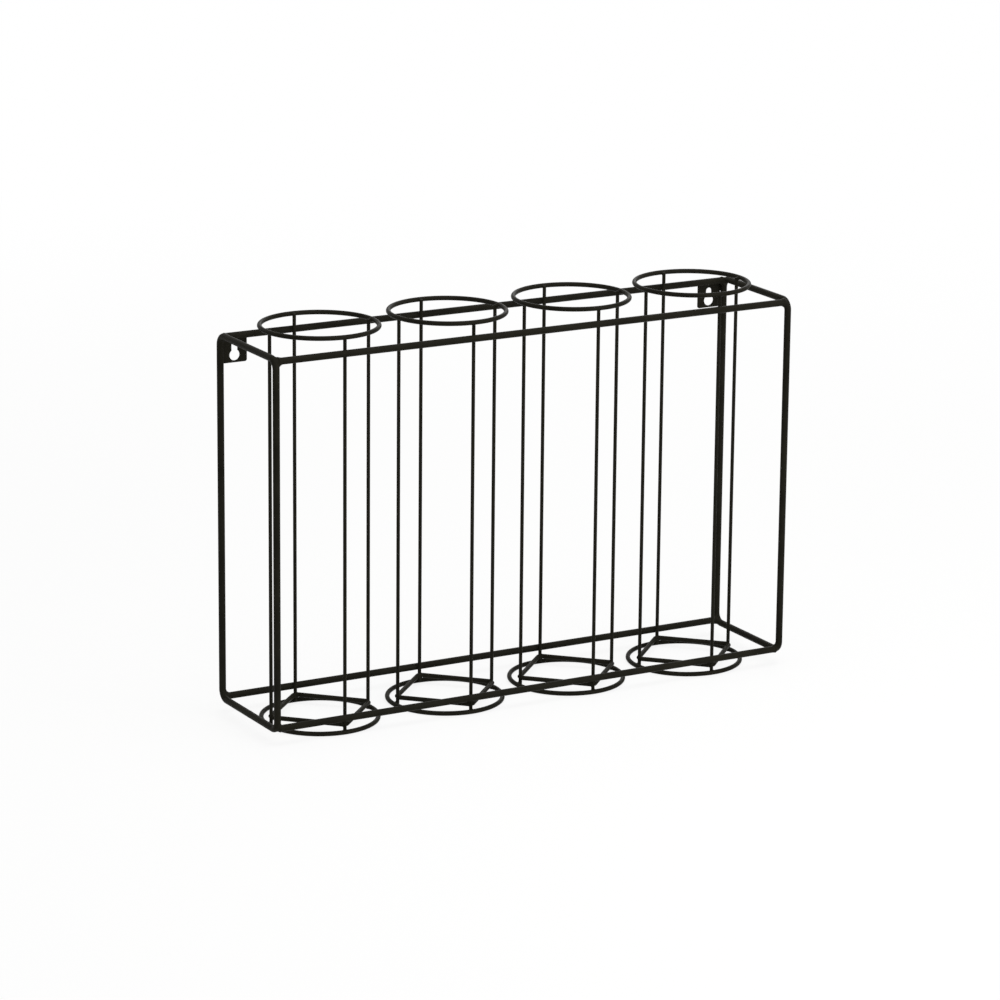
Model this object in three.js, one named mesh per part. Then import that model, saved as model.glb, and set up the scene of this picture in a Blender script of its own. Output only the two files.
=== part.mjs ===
// Wall rack for cup lids, welded from round steel wire and powder coated black.
// Two bent side loops and four straight rails make a box frame. Inside it stand open columns for
// stacks of lids: a ring at each end, four uprights, and a floor of four bars, set in a square
// between the uprights.
// A sheet metal tab with a keyhole sits in each upper rear corner and hangs the rack on screws.
// Millimetres, +Z up. X runs along the rack, +Y points at the wall, Z = 0 is under the bottom rings.
import * as THREE from "three";

// What the rack holds
const COLUMNS = 4;
const LID_DIAMETER = 93; // over the rim of a lid for a 90 mm cup
const LID_CLEARANCE = 0.8; // from a lid's rim to an upright, on the radius

// Wire stock, as diameters
const FRAME_WIRE = 6;
const RING_WIRE = 4;
const FLOOR_WIRE = 4;
const UPRIGHT_WIRE = 3;
const WELD_GAP = 0.3; // left open between two wires where a weld bead joins them

// Spaces along the rack
const RING_SPACING = 18.8; // between the rings of neighbouring columns
const END_SPACING = 12.4; // between an end ring and the side loop

// Levels, from the bottom rings upwards
const FLOOR_GAP = 2.2; // bottom ring to floor bars
const RAIL_GAP = 2.3; // floor bars to bottom rails
const RAIL_SPACING = 332; // bottom rail axis to top rail axis
const TOP_RING_GAP = 9.3; // top rails to top ring
const UPRIGHT_SETBACK = 1.5; // upright's end to the outer face of its ring

// Bends of the side loops, and where the rails butt on them
const BEND_INSIDE = 6; // inside radius of a bend
const RAIL_PROUD = 1.1; // rail axis outside the middle of the bend, in depth and in height

// Where the floor bars butt on the uprights
const FLOOR_PROUD = 1.2; // bar's axis outside the line between the uprights' axes

// Hanger tabs
const TAB_THICKNESS = 1.2;
const TAB_LAP = 2; // tab's top edge above the axis of the rail that it laps
const TAB_MARGIN = 7.1; // metal on each side of the keyhole
const TAB_LIP = 1.8; // metal under the keyhole
const TAB_CORNER_RADIUS = 2;
const SLOT_WIDTH = 6; // passes a screw's shank
const KEYHOLE_SHOULDER = 2; // the round hole is wider than the slot by this, on each side
const KEYHOLE_DROP = 3.5; // rail's underside to the top of the slot
const KEYHOLE_TRAVEL = 9; // centre of the round hole to the centre of the slot's end

// Smoothness of the faceted wires
const WIRE_SIDES = 12;
const RING_STEPS = 40;
const BEND_STEPS = 6;
const TAB_ARC_STEPS = 8;

// Radial chain of a column: lid, upright, ring, and the rail that the upright is welded to
const uprightReach = LID_DIAMETER / 2 + LID_CLEARANCE + UPRIGHT_WIRE / 2;
const uprightOutside = uprightReach + UPRIGHT_WIRE / 2 + WELD_GAP;
const ringRadius = uprightOutside + RING_WIRE / 2;
const railReach = uprightOutside + FRAME_WIRE / 2;

// Floor bars: each spans two neighbouring uprights, a quarter turn apart
const floorOffset = uprightReach / 2 + FLOOR_PROUD * Math.SQRT1_2; // bar's middle, in X and in Y
const floorLength = uprightReach * Math.SQRT2 - UPRIGHT_WIRE - 2 * WELD_GAP;

// Chain along the rack
const columnPitch = 2 * ringRadius + RING_WIRE + RING_SPACING;
const endColumn = ((COLUMNS - 1) / 2) * columnPitch;
const loopX = endColumn + ringRadius + RING_WIRE / 2 + END_SPACING + FRAME_WIRE / 2;

// Chain of levels
const bottomRingZ = RING_WIRE / 2;
const floorZ = RING_WIRE + FLOOR_GAP + FLOOR_WIRE / 2;
const bottomRailZ = floorZ + FLOOR_WIRE / 2 + RAIL_GAP + FRAME_WIRE / 2;
const topRailZ = bottomRailZ + RAIL_SPACING;
const topRingZ = topRailZ + FRAME_WIRE / 2 + TOP_RING_GAP + RING_WIRE / 2;
const uprightBottom = UPRIGHT_SETBACK;
const uprightTop = topRingZ + RING_WIRE / 2 - UPRIGHT_SETBACK;

// Side loops: each rail's axis runs just outside the middle of a bend
const bendRadius = BEND_INSIDE + FRAME_WIRE / 2;
const railInset = bendRadius * (1 - Math.SQRT1_2) - RAIL_PROUD;
const loopReach = railReach + railInset;
const railLength = 2 * (loopX - FRAME_WIRE / 2 - WELD_GAP);

// Keyhole and tab, measured down from the top rail and inwards from the side loop's rear leg
const slotRadius = SLOT_WIDTH / 2;
const holeRadius = slotRadius + KEYHOLE_SHOULDER;
const slotEndZ = topRailZ - FRAME_WIRE / 2 - KEYHOLE_DROP - slotRadius;
const holeZ = slotEndZ - KEYHOLE_TRAVEL;
const tabTopZ = topRailZ + TAB_LAP;
const tabBottomZ = holeZ - holeRadius - TAB_LIP;
const tabFrontY = railReach + FRAME_WIRE / 2 + WELD_GAP;
const keyholeX = loopX - FRAME_WIRE / 2 - TAB_MARGIN - holeRadius;
const tabInnerX = keyholeX - holeRadius - TAB_MARGIN;

// The tab's outer edge stops a weld gap short of the round rear leg beside it
const legClear = FRAME_WIRE / 2 + WELD_GAP;
const tabBehindLeg = tabFrontY - loopReach;
const tabOuterX = loopX - Math.sqrt(Math.max(legClear ** 2 - tabBehindLeg ** 2, 0));

// Black powder coat, a little smoother on the thin wires and the sheet metal
const coatColour = 0x1d1b19;
const frameCoat = new THREE.MeshStandardMaterial({ color: coatColour, roughness: 0.48, metalness: 0.1 });
const wireCoat = new THREE.MeshStandardMaterial({ color: coatColour, roughness: 0.44, metalness: 0.1 });
const sheetCoat = new THREE.MeshStandardMaterial({ color: coatColour, roughness: 0.42, metalness: 0.1 });

// A closed flat loop with straight runs and an arc at each corner, sampled only where the arcs need it.
// Its corners are given in order, and every corner is a right angle.
class BentLoop extends THREE.Curve {
  constructor(corners, radius, steps) {
    super();
    this.stations = [];
    corners.forEach((corner, i) => {
      const before = corners[(i + corners.length - 1) % corners.length];
      const after = corners[(i + 1) % corners.length];
      const arriving = corner.clone().sub(before).normalize();
      const leaving = after.clone().sub(corner).normalize();
      const centre = corner.clone().addScaledVector(leaving, radius).addScaledVector(arriving, -radius);
      for (let step = 0; step <= steps; step++) {
        const turn = (step / steps) * (Math.PI / 2);
        const tangent = arriving.clone().multiplyScalar(Math.cos(turn)).addScaledVector(leaving, Math.sin(turn));
        const outward = arriving.clone().multiplyScalar(Math.sin(turn)).addScaledVector(leaving, -Math.cos(turn));
        this.stations.push({ point: centre.clone().addScaledVector(outward, radius), tangent });
      }
    });
  }

  station(u) {
    return this.stations[Math.round(u * this.stations.length) % this.stations.length];
  }

  getPointAt(u, target = new THREE.Vector3()) {
    return target.copy(this.station(u).point);
  }

  getTangentAt(u, target = new THREE.Vector3()) {
    return target.copy(this.station(u).tangent);
  }
}

function rod(wire, length) {
  return new THREE.CylinderGeometry(wire / 2, wire / 2, length, WIRE_SIDES);
}

function addMesh(parent, name, geometry, material) {
  const mesh = new THREE.Mesh(geometry, material);
  mesh.name = name;
  parent.add(mesh);
  return mesh;
}

// One rectangular loop of frame wire across the end of the rack
function sideLoopGeometry() {
  const low = bottomRailZ - railInset;
  const high = topRailZ + railInset;
  const corners = [
    new THREE.Vector3(0, -loopReach, low),
    new THREE.Vector3(0, loopReach, low),
    new THREE.Vector3(0, loopReach, high),
    new THREE.Vector3(0, -loopReach, high),
  ];
  const loop = new BentLoop(corners, bendRadius, BEND_STEPS);
  return new THREE.TubeGeometry(loop, loop.stations.length, FRAME_WIRE / 2, WIRE_SIDES, true);
}

function buildFrame() {
  const frame = new THREE.Group();
  const loopGeometry = sideLoopGeometry();
  addMesh(frame, "side_loop_left", loopGeometry, frameCoat).position.x = -loopX;
  addMesh(frame, "side_loop_right", loopGeometry, frameCoat).position.x = loopX;

  const railGeometry = rod(FRAME_WIRE, railLength).rotateZ(Math.PI / 2);
  for (const [side, y] of [["front", -railReach], ["back", railReach]]) {
    for (const [level, z] of [["top", topRailZ], ["bottom", bottomRailZ]]) {
      addMesh(frame, `rail_${side}_${level}`, railGeometry, frameCoat).position.set(0, y, z);
    }
  }
  return frame;
}

// Keyhole outline: a round hole whose top opens into a slot with a round end
function keyholePath() {
  const mouth = Math.asin(slotRadius / holeRadius);
  const keyhole = new THREE.Path();
  keyhole.absarc(keyholeX, holeZ, holeRadius, Math.PI / 2 - mouth, Math.PI / 2 + mouth, true);
  keyhole.absarc(keyholeX, slotEndZ, slotRadius, Math.PI, 0, true);
  keyhole.closePath();
  return keyhole;
}

// Tab of the right-hand corner, drawn in X and Z and extruded towards the wall
function hangerTabGeometry() {
  const corner = TAB_CORNER_RADIUS;
  const outline = new THREE.Shape();
  outline.moveTo(tabOuterX, tabBottomZ);
  outline.lineTo(tabOuterX, tabTopZ);
  outline.lineTo(tabInnerX + corner, tabTopZ);
  outline.absarc(tabInnerX + corner, tabTopZ - corner, corner, Math.PI / 2, Math.PI, false);
  outline.absarc(tabInnerX + corner, tabBottomZ + corner, corner, Math.PI, 1.5 * Math.PI, false);
  outline.closePath();
  outline.holes.push(keyholePath());
  const settings = { depth: TAB_THICKNESS, bevelEnabled: false, curveSegments: TAB_ARC_STEPS };
  const sheet = new THREE.ExtrudeGeometry(outline, settings);
  return sheet.rotateX(Math.PI / 2).translate(0, tabFrontY + TAB_THICKNESS, 0);
}

function buildHangers() {
  const hangers = new THREE.Group();
  const tab = hangerTabGeometry();
  addMesh(hangers, "hanger_tab_right", tab, sheetCoat);
  addMesh(hangers, "hanger_tab_left", tab, sheetCoat).scale.x = -1;
  return hangers;
}

function buildColumn(number, geometries) {
  const column = new THREE.Group();
  const name = (piece) => `column_${number}_${piece}`;
  addMesh(column, name("top_ring"), geometries.ring, wireCoat).position.z = topRingZ;
  addMesh(column, name("bottom_ring"), geometries.ring, wireCoat).position.z = bottomRingZ;

  for (const [depth, y] of [["front", -1], ["back", 1]]) {
    for (const [side, x] of [["left", -1], ["right", 1]]) {
      const bar = addMesh(column, name(`floor_bar_${depth}_${side}`), geometries.floorBar, wireCoat);
      bar.position.set(x * floorOffset, y * floorOffset, floorZ);
      bar.rotation.z = (-x * y * Math.PI) / 4;
    }
  }

  const middleZ = (uprightBottom + uprightTop) / 2;
  const places = { left: [-1, 0], right: [1, 0], front: [0, -1], back: [0, 1] };
  for (const [side, [x, y]] of Object.entries(places)) {
    const upright = addMesh(column, name(`upright_${side}`), geometries.upright, wireCoat);
    upright.position.set(x * uprightReach, y * uprightReach, middleZ);
  }
  return column;
}

function buildColumns() {
  const columns = new THREE.Group();
  const geometries = {
    ring: new THREE.TorusGeometry(ringRadius, RING_WIRE / 2, WIRE_SIDES, RING_STEPS),
    floorBar: rod(FLOOR_WIRE, floorLength).rotateZ(Math.PI / 2),
    upright: rod(UPRIGHT_WIRE, uprightTop - uprightBottom).rotateX(Math.PI / 2),
  };
  for (let i = 0; i < COLUMNS; i++) {
    const column = buildColumn(i + 1, geometries);
    column.position.x = i * columnPitch - endColumn;
    columns.add(column);
  }
  return columns;
}

const rack = new THREE.Group();
rack.name = "cup_lid_rack";
rack.add(buildFrame(), buildHangers(), buildColumns());

export default rack;
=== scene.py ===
import math

import bpy
import numpy as np
from mathutils import Matrix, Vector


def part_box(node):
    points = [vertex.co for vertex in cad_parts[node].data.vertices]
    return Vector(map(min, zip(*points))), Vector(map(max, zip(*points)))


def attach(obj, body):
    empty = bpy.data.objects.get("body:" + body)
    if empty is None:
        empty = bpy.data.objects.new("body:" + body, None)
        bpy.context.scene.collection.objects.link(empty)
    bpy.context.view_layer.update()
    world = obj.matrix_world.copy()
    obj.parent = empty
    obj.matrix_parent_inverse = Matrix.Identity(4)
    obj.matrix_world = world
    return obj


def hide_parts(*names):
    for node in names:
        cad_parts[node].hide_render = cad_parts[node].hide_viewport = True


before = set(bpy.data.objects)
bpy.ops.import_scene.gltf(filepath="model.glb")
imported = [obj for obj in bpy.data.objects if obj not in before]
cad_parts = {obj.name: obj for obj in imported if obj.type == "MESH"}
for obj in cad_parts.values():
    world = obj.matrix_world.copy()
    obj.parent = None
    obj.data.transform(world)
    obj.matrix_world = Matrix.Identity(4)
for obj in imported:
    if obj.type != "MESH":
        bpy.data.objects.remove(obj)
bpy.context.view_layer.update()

# A wall rack for cup lids: round steel wire, bent and welded, with two keyhole tabs, all powder coated black.
# Metres, +Z up. X runs along the rack, +Y points at the wall, Z = 0 is under the bottom rings.
# Places and bare wire thicknesses are read from the boxes of the frame's nodes.

MM = 0.001
ALONG, TO_WALL, UP = np.eye(3)
COLUMNS = 4
SIDES = {"left": -1, "right": 1}  # direction of X out of the rack at each end
UPRIGHTS = {"left": (-1, 0), "right": (1, 0), "front": (0, -1), "back": (0, 1)}  # place in a column's plan
RAILS = [(depth, level) for depth in ("front", "back") for level in ("top", "bottom")]
FLOOR_BARS = [(depth, side) for depth in ("front", "back") for side in SIDES]

# Sizes that a node's box doesn't show
WELD_GAP = 0.3 * MM  # between two bare wires
COAT = 0.12 * MM  # thickness of the powder coat on a wire
LOOP_BEND = 9 * MM  # bends of a side loop, to the middle of the wire
CUT_EDGE = 0.4 * MM  # rounding that the coat gives to a cut end
CUT_FLAT = 0.75  # ring of points on a cut end, as a share of its flat's radius
SEAM_SWELL = 0.05  # share by which a closed wire swells at its butt weld
SEAM_WIDTH = 1.6 * MM

# Hanger tabs
HOLE_RADIUS = 5 * MM
SLOT_RADIUS = 3 * MM
KEYHOLE_TRAVEL = 9 * MM  # centre of the round hole to the centre of the slot's end
TAB_LIP = 1.8 * MM  # metal under the keyhole
TAB_MARGIN = 7.1 * MM  # metal between the keyhole and the tab's inner edge
TAB_CORNER = 2 * MM
TAB_EDGE = 0.3 * MM  # rounding of the sheet's edges under the coat

# Weld beads: how far one reaches from the middle of its joint, and how full its fillet is
WIRE_REACH = 3.6 * MM
WIRE_FILLET = 3.4 * MM
FRAME_REACH = 7.5 * MM
FRAME_FILLET = 6.5 * MM
LEAST_FILLET = 0.001 * MM
BEAD_WAVES = ((0.1, 2, 1), (0.06, 5, -2))  # each wave's height, lobes round a joint and share of its turn
WELD_SKIN = 0.06 * MM  # depth at which a bead's edge ends under the wires

# Stitch welds beside the tabs
STITCH_RADIUS = 0.75 * MM
STITCH_RIPPLE = 1.4 * MM  # from one ripple to the next
STITCH_SWELL = 0.07  # share by which a ripple swells the bead
STITCH_BLUNTNESS = 5  # power that keeps a stitch full almost to its ends
STITCH_TIP = 0.02  # least square of a stitch's taper, at its ends
STITCH_SINK = 0.5 * MM  # from a tab's edge to the middle of a stitch in the groove beside it
RAIL_STITCHES = (-0.55, 0.35)  # where stitches start, as shares of half the tab
LEG_STITCHES = (-0.7, 0.1)
RAIL_STITCH = 5.5 * MM
LEG_STITCH = 6.5 * MM

# Fineness of the surfaces, in points or steps
WIRE_ROUND = 24
BEND_STEPS = 24
RUN_STEPS = 15
RING_QUARTER_STEPS = 60
EDGE_STEPS = 5
BEAD_ROUND = 40
BEAD_ROWS = 26
EVEN_ROWS = 0.45  # share of even spacing in a bead's rows, which otherwise crowd to its middle
STITCH_ROWS = 104
TAB_ROUND = 240
CORNER_STEPS = 13  # extra points at each corner of a tab
CORNER_SPREAD = 0.12  # angle on either side of a corner that they cover
HALVINGS = 24

# Where the camera stood, from the rack's lines in the picture
CAMERA_AZIMUTH = -29.505
CAMERA_ELEVATION = 15.05
CAMERA_ROLL = 0.55
CAMERA_DISTANCE = 4.008
CAMERA_LENS = 158.9
CAMERA_SENSOR = 36.0
CAMERA_TARGET = np.array([-8.11, 0.0, 180.11]) * MM
CAMERA_FAR = 50.0  # furthest distance that it sees


# Surfaces

def closed_grid(points, loop):
    """Points and outward faces of a closed surface given as a grid, rows along it and columns round it.

    Columns always join up. Rows join up where the surface is a loop, and otherwise each end row closes on a
    pole in its middle. The faces are turned round if the volume that they enclose comes out negative."""
    rows, columns = points.shape[:2]
    number = np.arange(rows * columns).reshape(rows, columns)
    beside = np.roll(number, -1, axis=1)
    last = rows if loop else rows - 1
    here = np.arange(last)
    above = (here + 1) % rows
    quads = np.stack([number[here], beside[here], beside[above], number[above]], -1).reshape(-1, 4)
    flat = points.reshape(-1, 3)
    fans = np.empty((0, 3), int)
    if not loop:
        poles = np.stack([points[0].mean(0), points[-1].mean(0)])
        low = np.stack([np.full(columns, len(flat)), beside[0], number[0]], -1)
        high = np.stack([np.full(columns, len(flat) + 1), number[-1], beside[-1]], -1)
        fans = np.concatenate([low, high])
        flat = np.concatenate([flat, poles])
    triangles = np.concatenate([quads[:, [0, 1, 2]], quads[:, [0, 2, 3]], fans])
    a, b, c = (flat[triangles[:, k]] for k in range(3))
    if np.einsum("ij,ij->", a, np.cross(b, c)) < 0:
        quads = quads[:, ::-1]
        fans = fans[:, ::-1]
    return flat, quads, fans


def add_piece(name, surfaces, coat, replaced=()):
    """One piece of the rack from closed surfaces, smooth shaded, riding on the rack's only body."""
    points = []
    faces = []
    count = 0
    for flat, quads, fans in surfaces:
        points.append(flat)
        faces += (quads + count).tolist() + (fans + count).tolist()
        count += len(flat)
    mesh = bpy.data.meshes.new(name)
    mesh.from_pydata(np.concatenate(points).tolist(), [], faces)
    mesh.polygons.foreach_set("use_smooth", np.ones(len(faces), bool))
    mesh.materials.append(coat)
    mesh.update()
    piece = bpy.data.objects.new(name, mesh)
    bpy.context.scene.collection.objects.link(piece)
    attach(piece, "root")
    if replaced:
        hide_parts(*replaced)


def star_radius(inside, spot, directions, reach):
    """How far a surface lies from a spot along each direction, found by halving the span from 0 to reach."""
    near = np.zeros(directions.shape[:-1])
    far = np.full(directions.shape[:-1], reach)
    for _ in range(HALVINGS):
        middle = (near + far) / 2
        within = inside(spot + directions * middle[..., None])
        near = np.where(within, middle, near)
        far = np.where(within, far, middle)
    return near


# Wires

def box_of(node):
    """Middle and half size of a node's box, as numpy rows."""
    low, high = (np.array(corner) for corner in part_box(node))
    return (low + high) / 2, (high - low) / 2


class Rod:
    """A straight round wire along a level or upright direction, cut square, with softly rounded ends.

    The node's box shows the wire's radius on the axis that the direction is square to. On the axis nearest to
    the direction it shows the wire's length and, where the wire runs aslant, a share of its thickness."""

    def __init__(self, node, direction):
        self.node = node
        self.middle, half = box_of(node)
        self.direction = np.array(direction) / np.linalg.norm(direction)
        lean = np.abs(self.direction)
        across, along = lean.argmin(), lean.argmax()
        self.radius = half[across] + COAT
        self.half_length = (half[along] - half[across] * math.sqrt(1 - lean[along] ** 2)) / lean[along]
        self.side = np.eye(3)[across]

    def surface(self):
        """A profile of axial place and radius, turned about the axis: flat end, quarter round, straight side.

        A ring of points on each flat end keeps the smooth shading of the edge from spreading over it."""
        turn = np.linspace(0, np.pi / 2, EDGE_STEPS)
        along = self.half_length - CUT_EDGE + CUT_EDGE * np.sin(turn)
        out = self.radius - CUT_EDGE + CUT_EDGE * np.cos(turn)
        along = np.append(along, self.half_length)
        out = np.append(out, CUT_FLAT * (self.radius - CUT_EDGE))
        place = np.concatenate([-along[::-1], along])[:, None, None]
        reach = np.concatenate([out[::-1], out])[:, None, None]
        angle = np.linspace(0, 2 * np.pi, WIRE_ROUND, endpoint=False)[None, :, None]
        circle = np.cos(angle) * self.side + np.sin(angle) * np.cross(self.direction, self.side)
        return closed_grid(self.middle + place * self.direction + reach * circle, loop=False)

    def distance(self, points):
        """Distance to a square-ended cylinder: from how far a point is past its end and outside its side."""
        offset = points - self.middle
        along = offset @ self.direction
        past_end = np.abs(along) - self.half_length
        outside = np.linalg.norm(offset - along[..., None] * self.direction, axis=-1) - self.radius
        corner = np.hypot(np.maximum(past_end, 0), np.maximum(outside, 0))
        return np.minimum(np.maximum(past_end, outside), 0) + corner


class Loop:
    """A closed wire bent flat: straight sides with a round bend at each corner, butt welded in one place.

    A ring is the same loop with bends that take up its sides whole. Across and upward are the unit
    directions of the loop's plane, and half holds half its size along each, to the middle of the wire.
    The seam is where the butt weld lies, along the same two directions."""

    def __init__(self, node, half, bend, radius, across, upward, seam):
        self.node = node
        self.middle = box_of(node)[0]
        self.half = np.array(half)
        self.bend = bend
        self.radius = radius
        self.across = across
        self.upward = upward
        self.normal = np.cross(across, upward)
        self.seam = seam

    def path(self):
        """Points and directions along the loop: on each side a straight run, then a quarter turn.

        Stations on a run are cubes of even steps, so that they crowd to its middle, where a seam may lie."""
        points = []
        directions = []
        run = np.linspace(-1, 1, RUN_STEPS)[:-1, None] ** 3
        is_ring = np.allclose(self.half, self.bend)
        turn_steps = RING_QUARTER_STEPS if is_ring else BEND_STEPS
        turn = np.linspace(0, np.pi / 2, turn_steps, endpoint=False)[:, None]
        for side in range(4):
            forward = np.array([np.cos(side * np.pi / 2), np.sin(side * np.pi / 2)])
            outward = np.array([forward[1], -forward[0]])
            length, offset = self.half if side % 2 == 0 else self.half[::-1]
            straight = length - self.bend
            if not is_ring:
                points.append(forward * straight * run + outward * offset)
                directions.append(np.broadcast_to(forward, (len(run), 2)))
            centre = forward * straight + outward * (offset - self.bend)
            points.append(centre + self.bend * (outward * np.cos(turn) + forward * np.sin(turn)))
            directions.append(forward * np.cos(turn) - outward * np.sin(turn))
        plane = np.stack([self.across, self.upward])
        return np.concatenate(points) @ plane + self.middle, np.concatenate(directions) @ plane

    def surface(self):
        """A circle carried along the loop, a little wider in the loop's plane at the butt weld.

        The swelling falls off as a bell curve with the distance from the seam."""
        path, direction = self.path()
        sideways = np.cross(direction, self.normal)[:, None]
        angle = np.linspace(0, 2 * np.pi, WIRE_ROUND, endpoint=False)[None, :, None]
        seam = self.middle + self.seam[0] * self.across + self.seam[1] * self.upward
        nearness = np.exp(-(((path - seam) ** 2).sum(1)) / SEAM_WIDTH**2)
        breadth = 1 + SEAM_SWELL * nearness[:, None, None]
        circle = breadth * np.cos(angle) * sideways + np.sin(angle) * self.normal
        return closed_grid(path[:, None] + self.radius * circle, loop=True)

    def distance(self, points):
        """Distance to the wire: how far off its middle line is, less its radius.

        How far off comes from the distance to a rounded rectangle in the plane and the height above it."""
        offset = points - self.middle
        flat = np.abs(np.stack([offset @ self.across, offset @ self.upward], -1)) - self.half + self.bend
        outline = np.linalg.norm(np.maximum(flat, 0), axis=-1) + np.minimum(flat.max(-1), 0) - self.bend
        return np.hypot(outline, offset @ self.normal) - self.radius


def side_loop(side):
    """Loop of frame wire in the plane across one end of the rack, its butt weld in the middle of its foot."""
    node = f"side_loop_{side}"
    _, half = box_of(node)
    wire = half[0]
    reach = half[1:] - wire
    return Loop(node, reach, LOOP_BEND, wire + COAT, TO_WALL, UP, seam=(0, -reach[1]))


def ring(node):
    """Level ring of wire, its butt weld at the rear left, between two uprights."""
    _, half = box_of(node)
    wire = half[2]
    radius = half[0] - wire
    diagonal = radius * math.sqrt(0.5)
    return Loop(node, (radius, radius), radius, wire + COAT, ALONG, TO_WALL, seam=(-diagonal, diagonal))


# Welds

def weld_bead(first, second, spot, pole, reach, fillet, turn):
    """Fillet of weld metal between two wires, as a star-shaped surface about the spot where they meet.

    Along each direction out of the spot the surface lies where the smooth least of the two wires' distances
    reaches zero. The fillet thins out to nothing at the given reach, where its edge ends inside the wires.
    Slow waves round the joint, turned by another angle at each, keep it from looking machined. Rows run
    between the poles."""
    step = np.linspace(-1, 1, BEAD_ROWS + 2)[1:-1, None]
    latitude = np.pi / 2 * (EVEN_ROWS * step + (1 - EVEN_ROWS) * step**3)
    angle = np.linspace(0, 2 * np.pi, BEAD_ROUND, endpoint=False)[None]
    east = np.roll(np.abs(pole), 1)
    east = east - pole * (east @ pole)
    east = east / np.linalg.norm(east)
    north = np.cross(pole, east)
    level = np.cos(angle)[..., None] * east + np.sin(angle)[..., None] * north
    directions = np.cos(latitude)[..., None] * level + np.sin(latitude)[..., None] * pole
    wave = 1 + sum(height * np.sin(lobes * angle + share * turn) for height, lobes, share in BEAD_WAVES)

    def inside(points):
        distance = np.linalg.norm(points - spot, axis=-1)
        fullness = np.maximum(fillet * wave * (1 - (distance / reach) ** 2), LEAST_FILLET)
        one = first.distance(points)
        other = second.distance(points)
        share = np.clip(0.5 + 0.5 * (other - one) / fullness, 0, 1)
        smooth_least = other * (1 - share) + one * share - fullness * share * (1 - share)
        return smooth_least < -WELD_SKIN

    radius = star_radius(inside, spot, directions, reach)
    return closed_grid(spot + directions * radius[..., None], loop=False)


def stitch_bead(start, run):
    """Short hand-laid bead: a circle carried along a straight run, rippled on the way, blunt at both ends."""
    length = np.linalg.norm(run)
    axis = run / length
    place = np.linspace(-1, 1, STITCH_ROWS)[:, None, None]
    taper = np.sqrt(np.clip(1 - np.abs(place) ** STITCH_BLUNTNESS, STITCH_TIP, 1))
    ripple = 1 + STITCH_SWELL * np.sin(np.pi * place * length / STITCH_RIPPLE)
    side = np.cross(axis, TO_WALL)
    angle = np.linspace(0, 2 * np.pi, WIRE_ROUND, endpoint=False)[None, :, None]
    around = np.cos(angle) * side + np.sin(angle) * np.cross(axis, side)
    middle = start + run / 2
    return closed_grid(middle + place * run / 2 + STITCH_RADIUS * taper * ripple * around, loop=False)


# Hanger tabs

def tab_surface(node, outward):
    """Sheet tab with a keyhole: its section, carried round the hole's centre, makes one loop of strips.

    The section goes over the hole's rounded edge, across the rear face, over the outer rounded edge and back
    across the front face. Each outline is a distance level of its own shape: the hole is the nearer of a disc
    and a slot, and the outside is a rectangle with round corners. Outward is the direction of X to the side
    loop. Points crowd at the tab's corners, and two lie at the corners between the disc and the slot."""
    middle, half = box_of(node)
    inner_x = middle[0] - outward * half[0]
    hole_x = inner_x + outward * (TAB_MARGIN + HOLE_RADIUS)
    hole_z = middle[2] - half[2] + TAB_LIP + HOLE_RADIUS
    centre = np.array([(middle[0] - hole_x) * outward, middle[2] - hole_z])
    size = half[[0, 2]]
    corners = centre + size * np.array([(-1, -1), (-1, 1), (1, -1), (1, 1)])
    spread = np.linspace(-CORNER_SPREAD, CORNER_SPREAD, CORNER_STEPS)
    near_corners = np.add.outer(np.arctan2(corners[:, 1], corners[:, 0]), spread).ravel() % (2 * np.pi)
    mouth = math.asin(SLOT_RADIUS / HOLE_RADIUS)
    angle = np.linspace(0, 2 * np.pi, TAB_ROUND, endpoint=False)
    angle = np.unique(np.concatenate([angle, near_corners, [np.pi / 2 - mouth, np.pi / 2 + mouth]]))
    directions = np.stack([np.cos(angle), np.sin(angle)], -1)

    def hole_distance(points):
        disc = np.linalg.norm(points, axis=-1) - HOLE_RADIUS
        up = np.clip(points[..., 1], 0, KEYHOLE_TRAVEL)
        slot = np.hypot(points[..., 0], points[..., 1] - up) - SLOT_RADIUS
        return np.minimum(disc, slot)

    def outside_distance(points):
        flat = np.abs(points - centre) - size + TAB_CORNER
        return np.linalg.norm(np.maximum(flat, 0), axis=-1) + np.minimum(flat.max(-1), 0) - TAB_CORNER

    def outline(distance, level):
        reach = 2 * np.linalg.norm(size)
        return star_radius(lambda points: distance(points) < level, np.zeros(2), directions, reach)

    # From the flat of a face, over the rounded edge, to the side of the sheet and over to the other face
    turn = np.linspace(0, np.pi / 2, EDGE_STEPS)
    step_in = np.append(2 * TAB_EDGE, TAB_EDGE * (1 - np.sin(turn)))
    step_down = np.append(0, TAB_EDGE * (1 - np.cos(turn)))
    depth = np.concatenate([half[1] - step_down, (step_down - half[1])[::-1]])
    inset = np.concatenate([step_in, step_in[::-1]])
    rows = []
    for level, y in zip(inset[::-1], depth[::-1]):
        rows.append((outline(hole_distance, level), y))
    for level, y in zip(inset, depth):
        rows.append((outline(outside_distance, -level), y))
    points = np.empty((len(rows), len(angle), 3))
    for row, (radius, y) in enumerate(rows):
        points[row, :, 0] = hole_x + outward * radius * directions[:, 0]
        points[row, :, 1] = middle[1] + y
        points[row, :, 2] = hole_z + radius * directions[:, 1]
    return closed_grid(points, loop=True)


# Finishes

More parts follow.
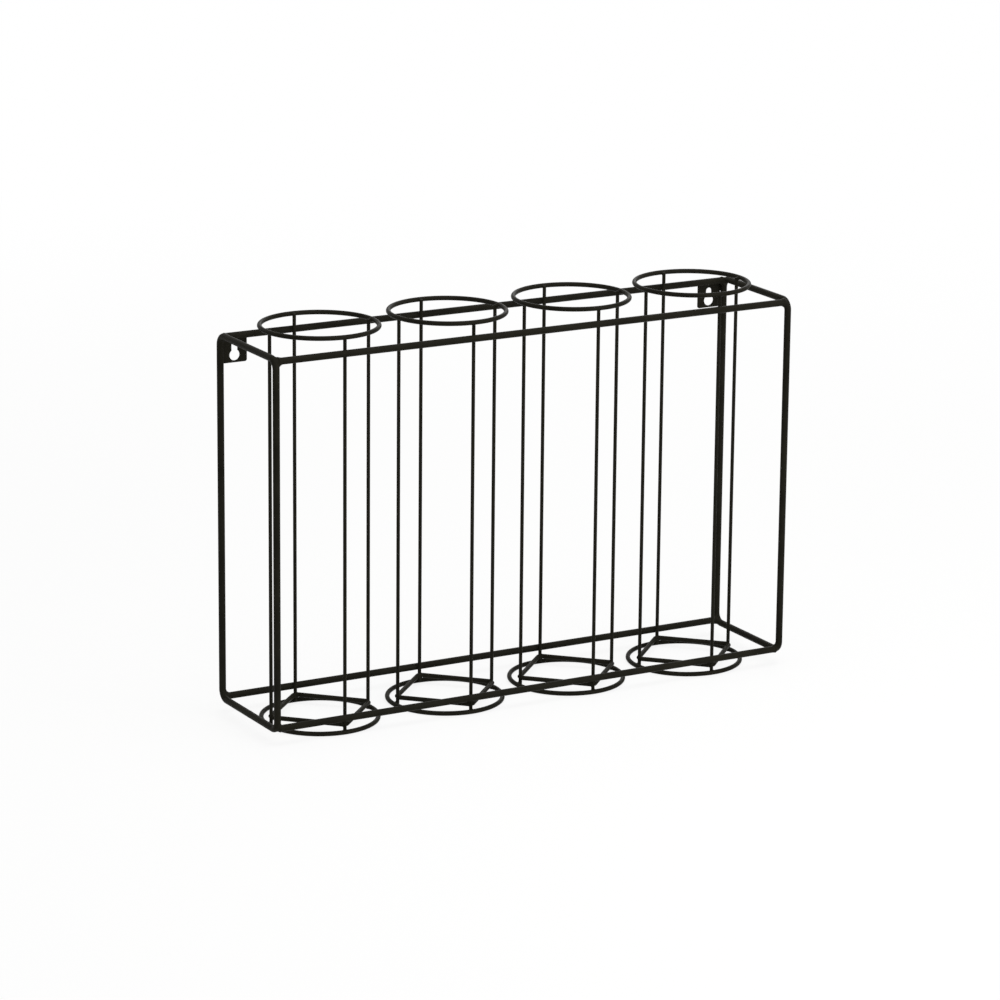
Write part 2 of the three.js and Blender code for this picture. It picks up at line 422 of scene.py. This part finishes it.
NOISE_MEAN = 0.5
NOISE_ROUGHNESS = 0.55
COAT_DARK = (0.0075, 0.0070, 0.0048, 1)
COAT_PALE = (0.0185, 0.0172, 0.0122, 1)
COAT_SHINE = 0.02  # specular level
CLOUD_SIZE = 24 * MM
CLOUD_SHADE = 1.3  # how far clouding shifts the coat between its dark and its pale colour
CLOUD_ROUGHNESS = 0.14
GRAIN_SIZE = 0.22 * MM
GRAIN_SHADE = 1.1
GRAIN_ROUGHNESS = 0.1
PEEL_SHARE = 0.75  # share of orange peel in the coat's relief, the rest is grain
RELIEF_STRENGTH = 0.5


class Value:
    """A number that varies over a surface. Sums, differences and products of values add Math nodes."""

    def __init__(self, nodes, socket):
        self.nodes = nodes
        self.socket = socket

    def __add__(self, other):
        return self.nodes.math("ADD", self, other)

    __radd__ = __add__

    def __sub__(self, other):
        return self.nodes.math("SUBTRACT", self, other)

    def __rsub__(self, other):
        return self.nodes.math("SUBTRACT", other, self)

    def __mul__(self, other):
        return self.nodes.math("MULTIPLY", self, other)

    __rmul__ = __mul__


class Nodes:
    """The nodes of one finish, of a floor or of the surroundings."""

    def __init__(self, owner):
        owner.use_nodes = True
        self.tree = owner.node_tree
        self.tree.nodes.clear()

    def add(self, kind, settings=(), inputs=(), output=0):
        """One node: its settings first, then each socket's value or link. Returns the output asked for."""
        node = self.tree.nodes.new(kind)
        for setting, value in dict(settings).items():
            setattr(node, setting, value)
        for socket, value in dict(inputs).items():
            if isinstance(value, Value):
                self.tree.links.new(value.socket, node.inputs[socket])
            else:
                node.inputs[socket].default_value = value
        return Value(self, node.outputs[output]) if node.outputs else None

    def math(self, operation, first, second):
        """One Math node on two values or numbers."""
        return self.add("ShaderNodeMath", {"operation": operation}, {0: first, 1: second})

    def noise(self, place, size, detail):
        """Soft noise about zero, whose lumps are about as wide as the given size."""
        inputs = {"Vector": place, "Scale": 1 / size, "Detail": detail, "Roughness": NOISE_ROUGHNESS}
        return self.add("ShaderNodeTexNoise", {}, inputs, "Fac") - NOISE_MEAN

    def blend(self, share, first, second):
        """Colour between two colours."""
        return self.add("ShaderNodeMix", {"data_type": "RGBA"}, {0: share, 6: first, 7: second}, 2)


def powder_coat(name, gloss, peel_size, peel_depth):
    """Satin black powder coat: warm black, clouded where the powder lay thicker, with orange peel and grain.

    The colour goes from dark to pale by half plus shares of clouding and grain. The roughness is what the
    gloss leaves, plus smaller shares of both. The relief is mostly orange peel and partly grain."""
    material = bpy.data.materials.new(name)
    nodes = Nodes(material)
    place = nodes.add("ShaderNodeTexCoord", output="Object")
    cloud = nodes.noise(place, CLOUD_SIZE, detail=3)
    peel = nodes.noise(place, peel_size, detail=1)
    grain = nodes.noise(place, GRAIN_SIZE, detail=2)
    paleness = 0.5 + CLOUD_SHADE * cloud + GRAIN_SHADE * grain
    height = PEEL_SHARE * peel + (1 - PEEL_SHARE) * grain
    relief = {"Strength": RELIEF_STRENGTH, "Distance": peel_depth, "Height": height}
    inputs = {
        "Base Color": nodes.blend(paleness, COAT_DARK, COAT_PALE),
        "Roughness": (1 - gloss) + CLOUD_ROUGHNESS * cloud + GRAIN_ROUGHNESS * grain,
        "Normal": nodes.add("ShaderNodeBump", {}, relief),
        "Specular IOR Level": COAT_SHINE,
    }
    shader = nodes.add("ShaderNodeBsdfPrincipled", {}, inputs)
    nodes.add("ShaderNodeOutputMaterial", {}, {"Surface": shader})
    return material


frame_coat = powder_coat("frame_coat", gloss=0.58, peel_size=1.3 * MM, peel_depth=0.05 * MM)
wire_coat = powder_coat("wire_coat", gloss=0.6, peel_size=1.1 * MM, peel_depth=0.025 * MM)
sheet_coat = powder_coat("sheet_coat", gloss=0.62, peel_size=1.5 * MM, peel_depth=0.05 * MM)


# The rack

def add_wire(wire, coat):
    """One coated wire, in place of its node."""
    add_piece(f"{wire.node}_coated", [wire.surface()], coat, [wire.node])


def build_frame():
    """Side loops and rails, each rail's end joined by a bead to the bend that it butts on."""
    loops = {side: side_loop(side) for side in SIDES}
    rails = {(depth, level): Rod(f"rail_{depth}_{level}", ALONG) for depth, level in RAILS}
    for wire in [*loops.values(), *rails.values()]:
        add_wire(wire, frame_coat)
    beads = []
    for side, outward in SIDES.items():
        for rail in rails.values():
            spot = rail.middle + ALONG * outward * (rail.half_length + WELD_GAP / 2)
            bead = weld_bead(rail, loops[side], spot, ALONG, FRAME_REACH, FRAME_FILLET, turn=len(beads))
            beads.append(bead)
    add_piece("frame_welds", beads, frame_coat)
    return rails


def build_column(number, rails):
    """Rings, floor bars and uprights of one column, and a bead wherever another wire meets an upright."""
    name = f"column_{number}_"
    rings = [ring(name + "top_ring"), ring(name + "bottom_ring")]
    uprights = {side: Rod(f"{name}upright_{side}", UP) for side in UPRIGHTS}
    joints = []
    for side, (x, y) in UPRIGHTS.items():
        met = rings + [rail for (depth, _), rail in rails.items() if depth == side]
        joints += [(uprights[side], wire, np.array([x, y, 0])) for wire in met]
    floor = []
    for depth, side in FLOOR_BARS:
        run = np.subtract(UPRIGHTS[side], UPRIGHTS[depth])
        bar = Rod(f"{name}floor_bar_{depth}_{side}", (*run, 0))
        floor.append(bar)
        joints += [(uprights[depth], bar, bar.direction), (uprights[side], bar, -bar.direction)]
    for wire in [*rings, *floor, *uprights.values()]:
        add_wire(wire, wire_coat)
    beads = []
    for upright, wire, towards in joints:
        spot = upright.middle + towards * (upright.radius - COAT + WELD_GAP / 2)
        spot[2] = wire.middle[2]
        turn = len(beads) + number
        beads.append(weld_bead(upright, wire, spot, towards, WIRE_REACH, WIRE_FILLET, turn))
    add_piece(name + "welds", beads, wire_coat)


def build_tab(side, outward):
    """Keyhole tab behind the top rear rail, stitched in the grooves beside the rail and the side loop."""
    node = f"hanger_tab_{side}"
    add_piece(f"{node}_coated", [tab_surface(node, outward)], sheet_coat, [node])
    middle, half = box_of(node)
    stitches = []
    for share in RAIL_STITCHES:
        start = middle + half * (share, -1, 1) - STITCH_SINK * (TO_WALL + UP)
        stitches.append(stitch_bead(start, RAIL_STITCH * ALONG))
    for share in LEG_STITCHES:
        start = middle + half * (outward, -1, share) - STITCH_SINK * (outward * ALONG + TO_WALL)
        stitches.append(stitch_bead(start, LEG_STITCH * UP))
    add_piece(f"{node}_welds", stitches, sheet_coat)


rails = build_frame()
for number in range(1, COLUMNS + 1):
    build_column(number, rails)
for side, outward in SIDES.items():
    build_tab(side, outward)


# Stage

FLOOR_RADIUS = 14.0
FLOOR_MIDDLE = 0.5  # radius of the floor's innermost ring of points
FLOOR_RINGS = 8
FLOOR_ROUND = 96
FLOOR_PALE = (0.96, 0.96, 0.95, 1)
WHITE = (1, 1, 1, 1)
SHADOW_KEPT = 0.16  # share of the floor's own shade that shows near the rack
SHADOW_START = 0.2  # distance from the rack's middle at which that share starts to fall
SHADOW_END = 2.4  # distance at which the floor is plain white
FILL_LIGHT = 0.5


def seen_ray(nodes):
    """One for rays that show the background: from the camera, mirrored or passed through glass."""
    kinds = ("Is Camera Ray", "Is Glossy Ray", "Is Transmission Ray")
    camera, glossy, transmission = (nodes.add("ShaderNodeLightPath", output=kind) for kind in kinds)
    return nodes.math("MAXIMUM", nodes.math("MAXIMUM", camera, glossy), transmission)


def floor_finish():
    """Pale matt floor that keeps the rack's shadow and turns to plain white further off."""
    material = bpy.data.materials.new("studio_floor")
    nodes = Nodes(material)
    place = nodes.add("ShaderNodeTexCoord", output="Object")
    far = nodes.add("ShaderNodeVectorMath", {"operation": "LENGTH"}, {0: place}, "Value")
    fade = {"From Min": SHADOW_START, "From Max": SHADOW_END, "To Min": 1 - SHADOW_KEPT, "To Max": 1.0}
    whiteness = nodes.add("ShaderNodeMapRange", {"interpolation_type": "SMOOTHSTEP"}, {"Value": far, **fade})
    matt = nodes.add("ShaderNodeBsdfDiffuse", {}, {"Color": FLOOR_PALE})
    white = nodes.add("ShaderNodeEmission", {}, {"Color": WHITE, "Strength": 1.0})
    mixed = nodes.add("ShaderNodeMixShader", {}, {0: seen_ray(nodes) * whiteness, 1: matt, 2: white})
    nodes.add("ShaderNodeOutputMaterial", {}, {"Surface": mixed})
    return material


def add_floor():
    """Flat disc that the coated rings stand on: rings of points at growing radii about its middle."""
    radius = np.geomspace(FLOOR_MIDDLE, FLOOR_RADIUS, FLOOR_RINGS)[:, None]
    angle = np.linspace(0, 2 * np.pi, FLOOR_ROUND, endpoint=False)[None]
    level = np.broadcast_to(-COAT, (radius * angle).shape)
    flat = np.stack([radius * np.cos(angle), radius * np.sin(angle), level], -1)
    number = np.arange(flat[..., 0].size).reshape(flat.shape[:2])
    beside = np.roll(number, -1, axis=1)
    quads = np.stack([number[:-1], number[1:], beside[1:], beside[:-1]], -1).reshape(-1, 4)
    mesh = bpy.data.meshes.new("studio_floor")
    mesh.from_pydata(flat.reshape(-1, 3).tolist(), [], [number[0].tolist(), *quads.tolist()])
    mesh.materials.append(floor_finish())
    floor = bpy.data.objects.new("studio_floor", mesh)
    bpy.context.scene.collection.objects.link(floor)


def add_surroundings():
    """White all round for rays that show the background, and a plain soft fill for the rest."""
    world = bpy.data.worlds.new("studio")
    bpy.context.scene.world = world
    nodes = Nodes(world)
    strength = FILL_LIGHT + (1 - FILL_LIGHT) * seen_ray(nodes)
    light = nodes.add("ShaderNodeBackground", {}, {"Color": WHITE, "Strength": strength})
    nodes.add("ShaderNodeOutputWorld", {}, {"Surface": light})


def aim(direction_back, roll=0.0):
    """Rotation whose local +Z points back from what is looked at, with its +X level before the roll."""
    back = direction_back / np.linalg.norm(direction_back)
    right = np.cross(UP, back)
    right = right / np.linalg.norm(right)
    up = np.cross(back, right)
    turned = math.cos(roll) * right + math.sin(roll) * up
    return np.stack([turned, np.cross(back, turned), back], -1)


def place_at(thing, location, rotation):
    """Puts a lamp or the camera at a location, turned by a rotation."""
    matrix = np.eye(4)
    matrix[:3, :3] = rotation
    matrix[:3, 3] = location
    thing.matrix_world = Matrix(matrix.tolist())


def add_softbox(name, location, width, height, power):
    """Large flat lamp that faces the middle of the rack."""
    lamp = bpy.data.lights.new(name, "AREA")
    lamp.shape = "RECTANGLE"
    lamp.size = width
    lamp.size_y = height
    lamp.energy = power
    softbox = bpy.data.objects.new(name, lamp)
    bpy.context.scene.collection.objects.link(softbox)
    place_at(softbox, location, aim(np.array(location) - CAMERA_TARGET))


def add_camera():
    """Camera on a sphere about its target. Azimuth 0 looks along +Y, and a minus sign stands to the left."""
    azimuth, elevation, roll = np.radians([CAMERA_AZIMUTH, CAMERA_ELEVATION, CAMERA_ROLL])
    level = np.array([math.sin(azimuth), -math.cos(azimuth), 0]) * math.cos(elevation)
    back = level + UP * math.sin(elevation)
    lens = bpy.data.cameras.new("camera")
    lens.lens = CAMERA_LENS
    lens.sensor_width = CAMERA_SENSOR
    lens.clip_end = CAMERA_FAR
    camera = bpy.data.objects.new("camera", lens)
    bpy.context.scene.collection.objects.link(camera)
    place_at(camera, CAMERA_TARGET + back * CAMERA_DISTANCE, aim(back, roll))
    bpy.context.scene.camera = camera


add_floor()
add_surroundings()
add_softbox("softbox_overhead", location=(0.1, -0.5, 1.9), width=1.8, height=1.4, power=18)
add_softbox("softbox_front", location=(0.9, -2.0, 0.9), width=1.2, height=1.2, power=16)
add_softbox("softbox_rear", location=(1.3, 1.6, 1.1), width=1.2, height=1.2, power=6)
add_camera()
bpy.context.scene.view_settings.view_transform = "Standard"
